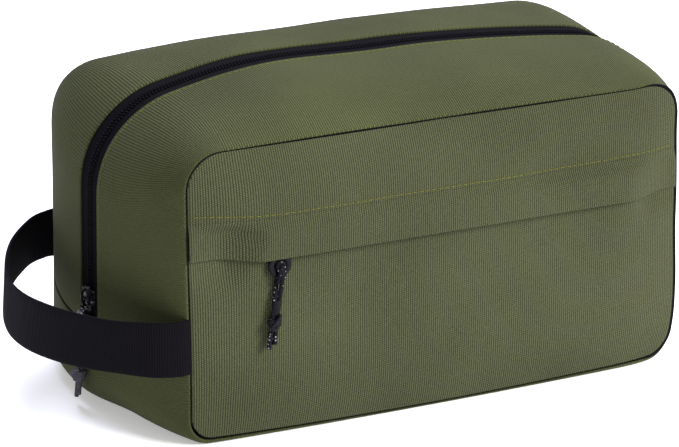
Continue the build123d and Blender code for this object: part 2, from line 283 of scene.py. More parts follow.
# ---- mesh helpers
def settled(points):
    """The slight lean and bow of the standing bag's front face, added to every piece near it. The left seam
    leans out upwards, and the right one leans in. The right corners are fuller above and slacker below, and
    the lower edge bows out and down."""
    points = np.array(points, float)
    x, y, z = points.T
    front = ease(-y, 30, 66)
    left, right = ease(-x, 88, 115) * front, ease(x, 88, 115) * front
    corner = front * np.exp(-((x - 117) ** 2 + (z - 129) ** 2) / 150)
    slack = front * np.exp(-((x - 117) ** 2 + (z - 6) ** 2) / 150)
    bow = ease(-y, 50, 67) * np.clip(1 - (x / 112) ** 2, 0, 1)
    lean_out = -0.3 - 2.2 * ease(z, 15, 125)
    lean_in = 1.0 - 1.3 * ease(z, 35, 70) - 2.0 * ease(z, 75, 135)
    points[:, 0] += left * lean_out + right * lean_in + 1.7 * corner - 2.4 * slack
    points[:, 1] -= 1.5 * bow * ease(z, 32, 6)
    points[:, 2] += 1.2 * corner + 1.2 * slack - 0.55 * bow * np.clip(z, 0, 2.9) * ease(z, 28, 3)
    return points


def piece(name, points, faces, material, slot, uv=None, smooth=True):
    mesh = bpy.data.meshes.new(name)
    mesh.from_pydata((settled(points) * MM).tolist(), [], faces)
    mesh.polygons.foreach_set("use_smooth", [smooth] * len(mesh.polygons))
    if uv is not None:
        corner = np.zeros(len(mesh.loops), int)
        mesh.loops.foreach_get("vertex_index", corner)
        mesh.uv_layers.new(name="UVMap").data.foreach_set("uv", np.asarray(uv, float)[corner].ravel())
    mesh.materials.append(material)
    obj = bpy.data.objects.new(name, mesh)
    scene.collection.objects.link(obj)
    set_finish(obj, slot)
    return obj


def unit(vectors):
    return vectors / np.maximum(np.linalg.norm(vectors, axis=-1, keepdims=True), 1e-9)


def ease(value, low, high):
    """0 at low, 1 at high, smooth between; high may be the smaller of the two."""
    t = np.clip((np.asarray(value, float) - low) / (high - low), 0, 1)
    return t * t * (3 - 2 * t)


def thick_sheet(name, outer, thick, material, slot, uv, outward):
    """A closed sheet of cloth. outer is a grid of points on its outer face, and outward a grid of directions
    that says which side is out. All four edges are rounded."""
    arc = 3
    n, m = outer.shape[:2]
    du = unit(np.gradient(outer, axis=0))
    dv = unit(np.gradient(outer, axis=1))
    normal = unit(np.cross(du, dv))
    side = 1 if np.sum(normal * outward) > 0 else -1
    normal = normal * side
    rows, cols = np.arange(-arc, n + arc), np.arange(-arc, m + arc)
    ii, jj = np.clip(rows, 0, n - 1), np.clip(cols, 0, m - 1)
    over_i, over_j = (rows - ii) / arc * math.pi / 2, (cols - jj) / arc * math.pi / 2
    r = thick / 2
    pick = np.ix_(ii, jj)
    out_i = np.sin(over_i)[:, None, None] * du[pick]
    out_j = np.sin(over_j)[None, :, None] * dv[pick]
    fall = 1 - np.cos(over_i)[:, None, None] * np.cos(over_j)[None, :, None]
    rim = r * (out_i + out_j)
    top = outer[pick] + rim - normal[pick] * r * fall
    low = outer[pick] - normal[pick] * (thick - r * fall) + rim
    big_n, big_m = top.shape[:2]
    count = big_n * big_m
    index = np.arange(count).reshape(big_n, big_m)
    edge = np.zeros((big_n, big_m), bool)
    edge[[0, -1], :] = True
    edge[:, [0, -1]] = True
    low_index = np.where(edge, index, 0)
    inner = ~edge
    low_index[inner] = count + np.arange(inner.sum())
    points = np.concatenate([top.reshape(-1, 3), low[inner]])
    uv_top = uv[pick].reshape(-1, 2)
    uvs = np.concatenate([uv_top, uv[pick][inner]])
    faces = []
    for grid, flip in ((index, side > 0), (low_index, side < 0)):
        a, b, c, d = grid[:-1, :-1], grid[1:, :-1], grid[1:, 1:], grid[:-1, 1:]
        quads = np.stack([a, b, c, d] if flip else [a, d, c, b], axis=-1).reshape(-1, 4)
        faces += [tuple(q) for q in quads.tolist()]
    return piece(name, points, faces, material, slot, uvs)


def cross_axes(path, closed):
    """Two directions square to a polyline at each point, turned as little as possible from point to point."""
    if closed:
        tangent = unit(np.roll(path, -1, 0) - np.roll(path, 1, 0))
    else:
        tangent = unit(np.gradient(path, axis=0))
    first = np.cross(tangent[0], (0.0, 0.0, 1.0))
    if np.linalg.norm(first) < 0.1:
        first = np.cross(tangent[0], (0.0, 1.0, 0.0))
    sides = [unit(first)]
    for t in tangent[1:]:
        last = sides[-1] - t * np.dot(sides[-1], t)
        sides.append(unit(last))
    sides = np.array(sides)
    return sides, np.cross(tangent, sides)


def tube_faces(rings, sides, closed=False):
    """Faces between rings of points, with a cap at both ends unless the last ring meets the first."""
    faces = []
    for i in range(rings if closed else rings - 1):
        k = (i + 1) % rings
        for j in range(sides):
            q = (j + 1) % sides
            faces.append((i * sides + j, i * sides + q, k * sides + q, k * sides + j))
    if not closed:
        faces.append(tuple(range(sides))[::-1])
        faces.append(tuple((rings - 1) * sides + j for j in range(sides)))
    return faces


def tube_data(path, radius, sides=10, closed=False, squash=1.0):
    """Points and faces of a round tube along a polyline. radius is one number, or one for each point."""
    path = np.asarray(path, float)
    a, b = cross_axes(path, closed)
    angle = np.linspace(0, 2 * math.pi, sides, endpoint=False)
    radius = np.broadcast_to(np.asarray(radius, float), (len(path),))
    ring = np.cos(angle)[None, :, None] * a[:, None] + squash * np.sin(angle)[None, :, None] * b[:, None]
    points = path[:, None] + ring * radius[:, None, None]
    return points.reshape(-1, 3), tube_faces(len(path), sides, closed)


def joined(parts):
    points, faces, start = [], [], 0
    for p, f in parts:
        points.append(np.asarray(p, float))
        faces += [tuple(v + start for v in face) for face in f]
        start += len(p)
    return np.concatenate(points), faces


def smooth_line(points, count):
    """A smooth curve through given points, evenly spaced along its length."""
    p = np.asarray(points, float)
    p = np.concatenate([[2 * p[0] - p[1]], p, [2 * p[-1] - p[-2]]])
    line = []
    for a, b, c, d in zip(p, p[1:], p[2:], p[3:]):
        for t in np.linspace(0, 1, 24, endpoint=False):
            square, cube = 2 * a - 5 * b + 4 * c - d, 3 * b - a - 3 * c + d
            line.append(0.5 * (2 * b + (c - a) * t + square * t * t + cube * t**3))
    line.append(p[-2])
    return evenly(line, count)


def run_along(line):
    """Distance along a polyline at each of its points."""
    return np.concatenate([[0], np.cumsum(np.linalg.norm(np.diff(line, axis=0), axis=1))])


def values_at(at, run, values):
    return np.stack([np.interp(at, run, values[:, k]) for k in range(3)], axis=1)


def evenly(line, count):
    line = np.asarray(line, float)
    run = run_along(line)
    return values_at(np.linspace(0, run[-1], count), run, line)


def bevelled(obj):
    """Bevels an object's sharp edges, and keeps the result as its own mesh."""
    bevel = obj.modifiers.new("bevel", "BEVEL")
    bevel.width = 0.25 * MM
    bevel.segments = 2
    bevel.limit_method = "ANGLE"
    bevel.angle_limit = math.radians(40)
    bpy.context.view_layer.update()
    seen = obj.evaluated_get(bpy.context.evaluated_depsgraph_get())
    mesh = bpy.data.meshes.new_from_object(seen)
    old = obj.data
    obj.modifiers.clear()
    obj.data = mesh
    bpy.data.meshes.remove(old)


def rear(obj):
    """For pieces behind the zip: bakes their placement into their mesh."""
    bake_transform(obj)


# ---- the bag's shape
HALF_DEPTH = 68.0
HALF_LENGTH = 120.0
TOP = 131.6
ZIP_Y = -4.8
BAND = 8.6
PANEL_LOW = 2.9           # height of the seam along the panels' lower edges
LOW_RADIUS = 11.0
TOP_RADIUS = 16.4
CLOTH = 1.2
TURN = 1.6                # radius at which cloth turns into a seam
NEAR = [0.9, 1.0, 1.15, 1.35, 1.7, 2.3, 3.5]  # distances from a seam at which its cloth is modelled finely
MID_TOP_RADIUS = 42.0
MID_LOW_RADIUS = 22.0
SOFTNESS = 0.4            # how far the strips' cloth ripples
PANEL_SOFTNESS = 0.7      # the same for the front and back panels


def swell(y):
    return 1 - abs(y / HALF_DEPTH) ** 2.7


def turn_in(distance):
    """How deep the cloth has turned inwards at a distance from its seam."""
    d = np.clip(np.asarray(distance, float), 0, TURN)
    return TURN - np.sqrt(np.maximum(TURN**2 - (TURN - d) ** 2, 0))


def end_seam(y):
    """Height of the seam across each end, below the zip."""
    return 37.0 + 10.0 * np.clip(abs(y - ZIP_Y) / 62, 0, 1) ** 1.6


def side_measures(y, inset):
    """The rounded outline of the bag's length and height, at one depth and so far in from the outer face."""
    grow = swell(y)
    under = 1 - min(max(HALF_DEPTH - abs(y), 0), 4.0) / 4.0
    behind = float(ease(y, -10, 42) * ease(y, HALF_DEPTH, 52))
    mid_low = MID_LOW_RADIUS - 10.0 * ease(y, -30, 12)
    top_power = 1.0 if y < 0 else 1.6
    return {
        "reach": HALF_LENGTH + 18.5 * grow - inset,
        "low": 0.1 + (PANEL_LOW - 0.1) * (1 - math.sqrt(1 - under**2)) + inset,
        "high": TOP + 9.5 * grow + 3.2 * behind - inset,
        "crown": 0.2 + 6.7 * grow - 1.2 * behind,
        "r_top": TOP_RADIUS + (MID_TOP_RADIUS - TOP_RADIUS) * grow**top_power - inset,
        "r_low": LOW_RADIUS + (mid_low - LOW_RADIUS) * grow - inset,
    }


def crown_slope(m):
    """Angle at which the top leaves its corners, so that the corner arc runs on into the crowned top."""
    angle = 0.0
    for _ in range(6):
        rise = m["crown"] + m["r_top"] * (1 - math.cos(angle))
        angle = math.atan2(2 * rise, m["reach"] - m["r_top"] + m["r_top"] * math.sin(angle))
    return angle


def over_top(y, inset, seam_inset, counts):
    """Points in X and Z from the left end's seam, over the top, to the right end's seam."""
    n_side, n_corner, n_top = counts
    m = side_measures(y, inset)
    left = []
    foot = end_seam(y)
    side_top = m["high"] - m["r_top"]
    heights = [foot + d for d in NEAR] + list(np.linspace(foot + 6, side_top, n_side))
    for z in heights:
        left.append((-(m["reach"] - (turn_in(z - foot) if seam_inset else 0)), z))
    slope = crown_slope(m)
    x = m["reach"] - m["r_top"]
    for k in range(1, n_corner):
        a = k / n_corner * (math.pi / 2 - slope)
        left.append((-(x + m["r_top"] * math.cos(a)), side_top + m["r_top"] * math.sin(a)))
    top = []
    ends = x + m["r_top"] * math.sin(slope)
    peak = m["high"] + m["crown"]
    rise = m["crown"] + m["r_top"] * (1 - math.cos(slope))
    for f in np.linspace(-1, 1, n_top):
        top.append((f * ends, peak - rise * f * f))
    right = [(-x, z) for x, z in reversed(left)]
    fuller = 3.4 * swell(y) * float(1 - 0.6 * ease(y, 5, 40))

    def lift(x, z):
        return fuller * math.exp(-(((x + 66) / 38) ** 2)) * float(ease(z, 90, 132))

    return [(x, z + lift(x, z)) for x, z in left + top + right]


def under_base(y, inset, seam_inset, counts):
    """Points in X and Z from the left end's seam, under the base, to the right end's seam."""
    n_side, n_corner, n_base = counts
    m = side_measures(y, inset)
    foot = end_seam(y)
    corner = m["low"] + m["r_low"]
    left = [(-(m["reach"] - (turn_in(d) if seam_inset else 0)), foot - d) for d in NEAR]
    left += [(-m["reach"], z) for z in np.linspace(foot - 5, corner, n_side)]
    for k in range(1, n_corner):
        a = k / n_corner * math.pi / 2
        x = m["reach"] - m["r_low"]
        left.append((-(x + m["r_low"] * math.cos(a)), corner - m["r_low"] * math.sin(a)))
    base = [(f * (m["reach"] - m["r_low"]), m["low"]) for f in np.linspace(-1, 1, n_base)]
    right = [(-x, z) for x, z in reversed(left)]
    return left + base + right


def ripple(points, normals, amount):
    """Soft hollows and swells, the same for every layer at one place. They fade out where the sliders run."""
    flat = points.reshape(-1, 3)
    wide = [noise.noise(Vector(p) / 46) for p in flat]
    narrow = [0.45 * noise.noise(Vector(p) / 21 + Vector((7, 3, 1))) for p in flat]
    values = (np.array(wide) + np.array(narrow)).reshape(points.shape[:2])
    x, y, z = points[..., 0], points[..., 1], points[..., 2]
    near_zip = 1 - ease(np.abs(y - ZIP_Y), 10, 26)
    low_end = ease(x, -90, -125) * ease(z, 118, 96)
    fade = 1 - near_zip * low_end
    grounded = ease(z, 1.0, 16.0)
    return points + normals * (values * amount * fade * grounded)[..., None]


CENTRE = np.array([0.0, 0.0, 68.0])


def surface_normals(points):
    du, dv = np.gradient(points, axis=0), np.gradient(points, axis=1)
    normal = unit(np.cross(du, dv))
    facing = np.sum(normal * (points - CENTRE), axis=-1, keepdims=True)
    return normal * np.where(facing.mean() < 0, -1.0, 1.0)


def close_up(points):
    """Brings the strips' edges closer to the panels along the top and the base, where seams lie tighter."""
    x, y, z = points[..., 0], points[..., 1], points[..., 2]
    near = 1 - ease(HALF_DEPTH - np.abs(y), 1.0, 5.0)
    level = np.maximum(ease(z, TOP - 9, TOP - 1), ease(z, 9, 3)) * (1 - ease(np.abs(x), 100, 112))
    moved = points.copy()
    moved[..., 1] += np.sign(y) * np.where(z > 60, 0.6, 0.38) * near * level
    return moved


def sleeve_sheet(name, outline, ys, build, counts, seams=(False, False), seam_inset=False):
    """A strip of the bag's sides between two depths. build is its inset, thickness, material and slot, and
    seams says whether its front and back edges turn in."""
    inset, thick, material, slot = build
    rows = []
    for y in ys:
        turned = inset
        for is_seam, edge in zip(seams, (-HALF_DEPTH, HALF_DEPTH)):
            if is_seam:
                turned += float(turn_in(abs(y - edge)))
        rows.append([(x, y, z) for x, z in outline(y, turned, seam_inset, counts)])
    points = np.array(rows).transpose(1, 0, 2)
    if any(seams):
        points = close_up(points)
    normals = surface_normals(points)
    points = ripple(points, normals, SOFTNESS)
    uv = np.stack(np.meshgrid(run_along(points.mean(axis=1)), ys, indexing="ij"), axis=-1)
    return thick_sheet(name, points, thick, material, slot, uv, normals)


def edge_rows(start, stop, count, dense_start=True, dense_stop=True):
    """Depths from start to stop, close together near a seam."""
    first = [start + d for d in NEAR] if dense_start else [start]
    last = [stop - d for d in reversed(NEAR)] if dense_stop else [stop]
    room = (first[-1], last[0])
    middle = list(np.linspace(room[0], room[1], count + 2)[1:-1])
    return first + middle + last


FINE = (26, 16, 84)          # points up each end, round each corner and over the top
SIDE_CLOTH = (0.0, CLOTH, OLIVE_SIDE_PAINTED_SHADE, "olive_cloth")
front_rows = edge_rows(-HALF_DEPTH, ZIP_Y - BAND, 22, True, False)
front_gusset = sleeve_sheet("front_gusset_cloth", over_top, front_rows, SIDE_CLOTH, FINE, (True, False), True)
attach(front_gusset, FRONT)
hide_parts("front_gusset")

rear_rows = edge_rows(ZIP_Y + BAND, HALF_DEPTH, 26, False, True)
rear_gusset = sleeve_sheet("rear_gusset_cloth", over_top, rear_rows, SIDE_CLOTH, FINE, (False, True), True)
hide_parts("rear_gusset", "rear_gusset_foot_left", "rear_gusset_foot_right")
rear(rear_gusset)

base_cloth = sleeve_sheet("base_cloth", under_base, edge_rows(-HALF_DEPTH, HALF_DEPTH, 40), SIDE_CLOTH,
                          (8, 14, 70), (True, True), True)
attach(base_cloth, FRONT)
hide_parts("base_gusset")


# ---- front and back panels
PANEL_HIGH = TOP + 0.1
HALFWAY = 66              # height at which the panels' corner radius changes


def edge_distance(x, z):
    """Distance in from the seam round the front or back panel, a rounded rectangle."""
    low, high = PANEL_LOW, PANEL_HIGH
    radius = np.where(z > HALFWAY, TOP_RADIUS, LOW_RADIUS)
    middle, half = (low + high) / 2, (high - low) / 2
    qx = np.abs(x) - (HALF_LENGTH - radius)
    qz = np.abs(z - middle) - (half - radius)
    outside = np.hypot(np.maximum(qx, 0), np.maximum(qz, 0))
    return radius - outside - np.minimum(np.maximum(qx, qz), 0)


def half_width(z):
    """Half the panel's width at a height."""
    low, high = PANEL_LOW, PANEL_HIGH
    radius = TOP_RADIUS if z > HALFWAY else LOW_RADIUS
    up = max(0.0, max(low + radius - z, z - (high - radius)))
    inner = radius - NEAR[0]
    return HALF_LENGTH - radius + math.sqrt(max(inner**2 - up**2, 0)) + NEAR[0]


def pillow(distance, reach):
    """0 at a seam, and 1 from reach inwards."""
    return 1 - (1 - np.clip(distance / reach, 0, 1)) ** 2.2


def side_distance(x):
    return HALF_LENGTH - np.abs(x)


def upper_swell(x, z):
    across = pillow(side_distance(x), 45)
    down = pillow(TOP - z, 34)
    lean = 1 - 0.3 * ease(x, -10, 112)
    return 9.0 * across * down * lean


def pocket_swell(x, z):
    soft = pillow(side_distance(x), 42) * pillow(z - PANEL_LOW, 34)
    at_zip = ease(np.abs(x), 106, 93)
    share = ease(z, 66, 84)
    return 6.05 * (soft * (1 - share) + at_zip * share)


def back_swell(x, z):
    return 3.6 * pillow(side_distance(x), 50) * pillow(z - PANEL_LOW, 45) * pillow(TOP - z, 45)


def panel_grid(zs, face, swell_at, side=-1):
    """Grid over part of the front (side -1) or back (side 1) panel."""
    near = np.array(NEAR + [6.0])
    count = 150
    points = []
    for z in zs:
        w = half_width(z)
        middle = np.linspace(-w + 9, w - 9, count)
        xs = np.concatenate([-w + near, middle, (w - near)[::-1]])
        points.append([(x, 0.0, z) for x in xs])
    grid = np.array(points)
    x, z = grid[..., 0], grid[..., 2]
    distance = edge_distance(x, z)
    grid[..., 1] = side * (face + swell_at(x, z) - turn_in(distance))
    return grid


def facing_way(grid, axis, sign):
    """One direction, along an axis, for every point of a grid."""
    normals = np.zeros_like(grid)
    normals[..., axis] = sign
    return normals


def rippled_panel(grid, normals, amount):
    """A panel's ripples, fading out towards its seam."""
    fade = ease(edge_distance(grid[..., 0], grid[..., 2]), 1.0, 18.0)
    return grid + (ripple(grid, normals, amount) - grid) * fade[..., None]


def panel_sheet(name, grid, thick=CLOTH, side=-1, amount=PANEL_SOFTNESS):
    normals = facing_way(grid, 1, side)
    grid = rippled_panel(grid, normals, amount)
    return thick_sheet(name, grid, thick, OLIVE, "olive_cloth", grid[..., [0, 2]], normals)


SEAM_FACE = HALF_DEPTH + 0.12
bottom_rows = [PANEL_LOW + d for d in NEAR] + [9.0]
top_rows = [TOP - 6.0] + [PANEL_HIGH - d for d in NEAR[::-1]]

pocket_rows = bottom_rows + list(np.linspace(10.8, 84.8, 48))
pocket = panel_sheet("pocket_cloth", panel_grid(pocket_rows, SEAM_FACE, pocket_swell))
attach(pocket, FRONT)
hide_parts("front_pocket_panel")

upper_rows = list(np.linspace(102.0, 124.5, 20)) + top_rows
upper = panel_sheet("upper_cloth", panel_grid(upper_rows, SEAM_FACE, upper_swell))
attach(upper, FRONT)
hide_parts("front_upper_panel")

FACING = 0.6              # thickness of the strip behind the flap's stitch line


def facing_swell(x, z):
    return pocket_swell(x, np.full_like(z, 90.0))


facing_grid = panel_grid(list(np.linspace(98.2, 104.5, 6)), SEAM_FACE - FACING, facing_swell)
facing = panel_sheet("zip_facing_cloth", facing_grid, FACING, amount=0.0)
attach(facing, FRONT)

back_rows = bottom_rows + list(np.linspace(10.8, 124.5, 76)) + top_rows
back = panel_sheet("back_cloth", panel_grid(back_rows, SEAM_FACE, back_swell, side=1), side=1)
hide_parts("back_panel")
rear(back)


def flap_swell(x, z):
    """Tucked under the panel above at the stitch line, then out over the slider, and in again to both side
    seams, with one dent running down beside the slider."""
    hanging = 1.5 + 9.0 * np.where(x < 0, ease(-x, 108, 89), ease(x, 116, 88))
    along, off = (x + 105) * 0.91 - (z - 99) * 0.41, (x + 105) * 0.41 + (z - 99) * 0.91
    hanging = hanging - 1.6 * np.exp(-((off / 3.0) ** 2)) * ease(along, -3, 5) * ease(along, 19, 12)
    joint = upper_swell(x, np.maximum(z, 101.0))
    step = 1.3 * ease(z, 101.3, 102.4)
    share = ease(z, 101.5, 95.0)
    return (joint - step) * (1 - share) + hanging * share


def flap_half(name, side):
    zs = [82.2, 82.6, 83.4, 85, 87, 89, 91, 93, 95, 96.5]
    zs += [98, 99.2, 100.2, 101, 101.5, 101.9, 102.3, 102.8, 103.6]
    near = np.array(NEAR + [6.0])
    xs = np.concatenate([HALF_LENGTH - near, np.linspace(111, 0, 76)]) * side
    x, z = np.meshgrid(xs, zs, indexing="ij")
    z = z + (1.4 + 1.2 * ease(x, -88, -112)) * ease(z, 95, 82)
    grid = np.stack([x, np.zeros_like(x), z], axis=-1)
    distance = edge_distance(x, z)
    grid[..., 1] = -(SEAM_FACE + flap_swell(x, z) - turn_in(distance))
    obj = panel_sheet(name, grid, 1.0, amount=0.35)
    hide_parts("pocket_flap", "pocket_flap_facing")
    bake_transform(obj)
    return obj


flap_half("flap_left", -1)
flap_half("flap_right", 1)

# ---- linings and seam bindings
COARSE = (18, 10, 50)
LINING_THICK = 0.45
LINING_ENDS = (-64.4, 67.3)
LINING_GAP = 17           # from the zip's middle line to the lining's edge
INSIDE = (2.1, LINING_THICK, LINING, "grey_lining")
front_depths = list(np.linspace(LINING_ENDS[0], ZIP_Y - LINING_GAP, 14))
front_lining = sleeve_sheet("front_lining", over_top, front_depths, INSIDE, COARSE)
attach(front_lining, FRONT)
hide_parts("front_gusset_lining")
rear_depths = list(np.linspace(ZIP_Y + LINING_GAP, LINING_ENDS[1], 18))
rear_lining = sleeve_sheet("rear_lining", over_top, rear_depths, INSIDE, COARSE)
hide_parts("rear_gusset_lining", "rear_lining_foot_left", "rear_lining_foot_right")
rear(rear_lining)
base_depths = list(np.linspace(*LINING_ENDS, 30))
base_lining = sleeve_sheet("base_lining_cloth", under_base, base_depths, INSIDE, (6, 9, 40))
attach(base_lining, FRONT)
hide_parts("base_lining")


def wall_sheet(name, y, inset, thick):
    """A nearly flat lining wall inside the front or back panel."""
    zs = np.linspace(PANEL_LOW + inset, TOP - inset, 46)
    points = []
    for z in zs:
        w = half_width(min(max(z, PANEL_LOW + 1), TOP - 1)) - inset
        points.append([(f * w, y, z) for f in np.linspace(-1, 1, 70)])
    grid = np.array(points)
    grid[..., 1] += 0.35 * np.sin(grid[..., 0] / 23) * np.sin(grid[..., 2] / 17)
    return thick_sheet(name, grid, thick, LINING, "grey_lining", grid[..., [0, 2]], facing_way(grid, 1, -1))


front_wall = wall_sheet("front_wall_lining", -66.2, 1.6, 1.5)
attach(front_wall, FRONT)
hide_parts("front_inner_wall", "pocket_lining", "front_lining")
back_wall = wall_sheet("back_wall_lining", 66.5, 2.8, LINING_THICK)
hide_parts("back_lining")
rear(back_wall)


BINDING_STEP = 2.0
BINDING_THICK = 0.5


def panel_outline(inset):
    """The seam round a panel as a closed line in X and Z, from the lower right corner."""
    low, high = PANEL_LOW + inset, PANEL_HIGH - inset
    reach = HALF_LENGTH - inset
    r_top, r_low = TOP_RADIUS - inset, LOW_RADIUS - inset
    line = []
    corners = [(reach - r_low, low + r_low, r_low, -90), (reach - r_top, high - r_top, r_top, 0),
               (-(reach - r_top), high - r_top, r_top, 90), (-(reach - r_low), low + r_low, r_low, 180)]
    for x, z, r, start in corners:
        for a in np.radians(np.linspace(start, start + 90, 12)):
            line.append((x + r * math.cos(a), z + r * math.sin(a)))
    line.append(line[0])
    dense = []
    for (x0, z0), (x1, z1) in zip(line, line[1:]):
        n = max(1, round(math.hypot(x1 - x0, z1 - z0) / BINDING_STEP))
        dense += [(x0 + (x1 - x0) * k / n, z0 + (z1 - z0) * k / n) for k in range(n)]
    return dense + [dense[0]]


def seam_binding(name, y, nodes, blended):
    """Grosgrain folded over the raw seam. Its black outer edge fills the bottom of the groove between two
    panels, as painted shade for the groove's dark line, and stands a little proud at the end away from the
    loop, so that the dark line shows there too."""
    insets = [0.75, 1.4, 2.4, 4.5, 7.0, 9.0]
    count = len(panel_outline(insets[-1]))

    def lines(out):
        return np.array([evenly([(x, y, z) for x, z in panel_outline(i - out)], count) for i in insets])

    plain, proud = lines(0), lines(1.5)
    share = (ease(plain[..., 0], 98, 114) * ease(np.array(insets), 5, 2)[:, None])[..., None]
    grid = (plain * (1 - share) + proud * share).transpose(1, 0, 2)
    uv = np.stack(np.meshgrid(np.arange(count) * BINDING_STEP, insets, indexing="ij"), axis=-1)
    normals = facing_way(grid, 1, math.copysign(1, y))
    obj = thick_sheet(name, grid, BINDING_THICK, BINDING, "black_binding", uv, normals)
    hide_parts(*nodes)
    if blended:
        rear(obj)
    else:
        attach(obj, FRONT)


# The bindings' black edges in the panel seams are painted shade in the grooves.
seam_binding("front_binding_shade", -67.85, ["front_seam_binding"], False)
seam_binding("rear_binding_shade", 68.3, ["rear_seam_binding", "base_seam_binding"], True)


def end_groove_shade(name, side):
    """Black grosgrain laid in the groove across an end, where the strips meet the base. It is painted shade:
    its black stands for the groove's dark line.
    """
    ys = np.linspace(-66.8, 66.8, 60)
    rows = []
    for y in ys:
        reach = side_measures(y, 0)["reach"]
        rows.append([(side * (reach - d), y, end_seam(y)) for d in (0.75, 1.6, 3.0, 5.0)])
    grid = np.array(rows)
    uv = np.stack(np.meshgrid(ys, [0, 1, 2, 4], indexing="ij"), axis=-1)
    obj = thick_sheet(name, grid, BINDING_THICK, BINDING, "black_binding", uv, facing_way(grid, 2, 1))
    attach(obj, FRONT)


end_groove_shade("end_binding_left", -1)
end_groove_shade("end_binding_right", 1)

# ---- main zip
CHAIN_INSET = 1.2
TAPE_THICK = 0.5
MAIN_TAPE = (0.95, TAPE_THICK, TAPE, "black_zip_tape")


def tape_rows(sign):
    """Depths across one tape, sign -1 for the front one and 1 for the rear one."""
    return sorted([ZIP_Y + sign * d for d in (0.3, 0.9, 1.6, 2.2, 3.2, 4.5, 6.0, 7.5, 9.5, 12.0, 14.8)])


tape_front = sleeve_sheet("main_tape_front", over_top, tape_rows(-1), MAIN_TAPE, FINE)
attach(tape_front, FRONT)
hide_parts("main_zip_tape_front")
tape_rear = sleeve_sheet("main_tape_rear", over_top, tape_rows(1), MAIN_TAPE, FINE)
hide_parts("main_zip_tape_rear", "main_zip_tape_foot_left", "main_zip_tape_foot_right")
rear(tape_rear)


def tooth_template():
    """One loop of a nylon coil: a rounded bar, along the zip, across it and out of it."""
    points = []
    rings, segs = 5, 8
    for i in range(rings):
        a = -math.pi / 2 + math.pi * i / (rings - 1)
        for j in range(segs):
            b = 2 * math.pi * j / segs
            c, s, ca, sa = math.cos(b), math.sin(b), max(math.cos(a), 0.35), math.sin(a)
            p = (abs(c) ** 0.7 * math.copysign(1, c) * ca, sa, abs(s) ** 0.7 * math.copysign(1, s) * ca)
            points.append(p)
    return np.array(points), tube_faces(rings, segs)


TOOTH_PITCH = 1.55
HALF_PITCH = 0.78         # about half of it, by which the two sides of a coil are set apart
TOOTH_HALVES = (0.48, 1.55, 0.95)   # along the zip, across it and out of it


def teeth(name, line, across, out, sign, shift=0.0):
    """Coil loops along a line. across and out are unit directions, one per point of the line."""
    run = run_along(line)
    at = np.arange(0.8 + shift, run[-1] - 0.8, TOOTH_PITCH)
    centre = values_at(at, run, line)
    side, up = unit(values_at(at, run, across)), unit(values_at(at, run, out))
    along = unit(np.cross(side, up))
    base, base_faces = tooth_template()
    long, wide, tall = TOOTH_HALVES
    parts = []
    for c, t, s, o in zip(centre, along, side, up):
        middle = c + s * sign * 1.3
        points = middle + base[:, :1] * long * t + base[:, 1:2] * wide * s + base[:, 2:3] * tall * o
        parts.append((points, base_faces))
    points, faces = joined(parts)
    return piece(name, points, faces, COIL, "black_zip_coil")


def following(line):
    """A line over the top, moved with the cloth's ripples, and the directions across the bag and out."""
    across = facing_way(line, 1, 1)
    out = unit(np.cross(unit(np.gradient(line, axis=0)), across))
    if np.sum(out * (line - CENTRE)) < 0:
        out = -out
    moved = ripple(np.stack([line, line], axis=1), np.stack([out, out], axis=1), SOFTNESS)
    return moved[:, 0], across, out


main_line = np.array([(x, ZIP_Y, z) for x, z in over_top(ZIP_Y, CHAIN_INSET, False, (40, 30, 120))])
zip_line, zip_across, zip_out = following(evenly(main_line[main_line[:, 2] > 40.5], 600))
coil_front = teeth("main_coil_front", zip_line, zip_across, zip_out, -1)
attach(coil_front, FRONT)
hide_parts("main_zip_coil_front")
coil_rear = teeth("main_coil_rear", zip_line, zip_across, zip_out, 1, shift=HALF_PITCH)
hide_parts("main_zip_coil_rear", "main_zip_coil_foot_left", "main_zip_coil_foot_right")
rear(coil_rear)

# ---- pocket zip
POCKET_CHAIN_Y = -72.35
POCKET_ZIP_Z = 90.5
POCKET_SLIDER_X = -82.5


def pocket_tape(name, sign, node):
    xs = np.linspace(-94, 94, 90)
    offsets = (1.6, 3.0, 5.0, 8.0, 11.0, 14.5)
    x, d = np.meshgrid(xs, offsets, indexing="ij")
    grid = np.stack([x, np.full_like(x, POCKET_CHAIN_Y - 0.25), POCKET_ZIP_Z + sign * d], axis=-1)
    uv = np.stack([x, d], axis=-1)
    obj = thick_sheet(name, grid, TAPE_THICK, TAPE, "black_zip_tape", uv, facing_way(grid, 1, -1))
    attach(obj, FRONT)
    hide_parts(node)


pocket_tape("pocket_tape_upper", 1, "pocket_zip_tape_upper")
pocket_tape("pocket_tape_lower", -1, "pocket_zip_tape_lower")
pocket_line = np.array([(x, POCKET_CHAIN_Y, POCKET_ZIP_Z) for x in np.linspace(-91.5, 91.5, 200)])
pocket_up, pocket_out = facing_way(pocket_line, 2, 1), facing_way(pocket_line, 1, -1)
for name, sign, shift, node in (("upper", 1, 0.0, "pocket_zip_coil_upper"),
                                ("lower", -1, HALF_PITCH, "pocket_zip_coil_lower")):
    coil = teeth(f"pocket_coil_{name}", pocket_line, pocket_up, pocket_out, sign, shift=shift)
    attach(coil, FRONT)
    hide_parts(node)


# ---- sliders, tabs, cords and knots
def to_world(origin, along, out):
    """Moves points from a local frame, whose X is along and whose Z is out, to the row's frame."""
    x, z = Vector(along), Vector(out)
    y = z.cross(x)
    place = Matrix((x, y, z)).transposed()
    return lambda points: np.array([place @ Vector(p) + Vector(origin) for p in np.asarray(points, float)])


def prism(outline, low, high):
    n = len(outline)
    points = [(x, y, low) for x, y in outline] + [(x, y, high) for x, y in outline]
    faces = [tuple(range(n))[::-1], tuple(range(n, 2 * n))]
    faces += [(i, (i + 1) % n, n + (i + 1) % n, n + i) for i in range(n)]
    return np.array(points), faces


